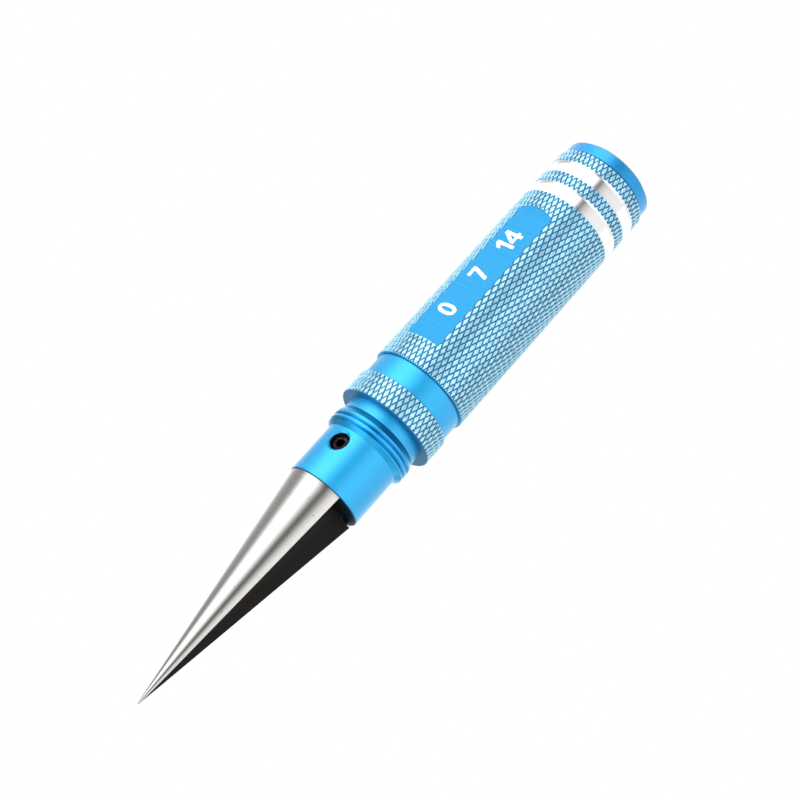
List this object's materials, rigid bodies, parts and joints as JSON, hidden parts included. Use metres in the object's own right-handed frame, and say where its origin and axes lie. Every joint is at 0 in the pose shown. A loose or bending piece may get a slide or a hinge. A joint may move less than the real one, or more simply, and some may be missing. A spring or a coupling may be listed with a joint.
{
  "type": "sheet metal reamer",
  "caption": "Hand reamer for sheet metal: knurled blue aluminium handle with a tapered steel blade, held by a grub screw, that opens and deburrs holes.",
  "frame": {"origin": "centre of the handle's flat rear face, on which the tool stands", "axes": "+Z along the tool's axis to the point of the blade; -Y is the side with the marking flat and the grub screw"},
  "size_m": [0.0184, 0.0184, 0.1238],
  "materials": {
    "anodised_aluminium": "light blue anodised, turned and knurled, with bare machined grooves",
    "blade_steel": "ground around the cone, flute left dark from hardening",
    "black_steel": "blackened"
  },
  "bodies": {
    "root": {"handle": "anodised_aluminium", "blade": "blade_steel", "grub_screw": "black_steel"}
  },
  "joints": []
}
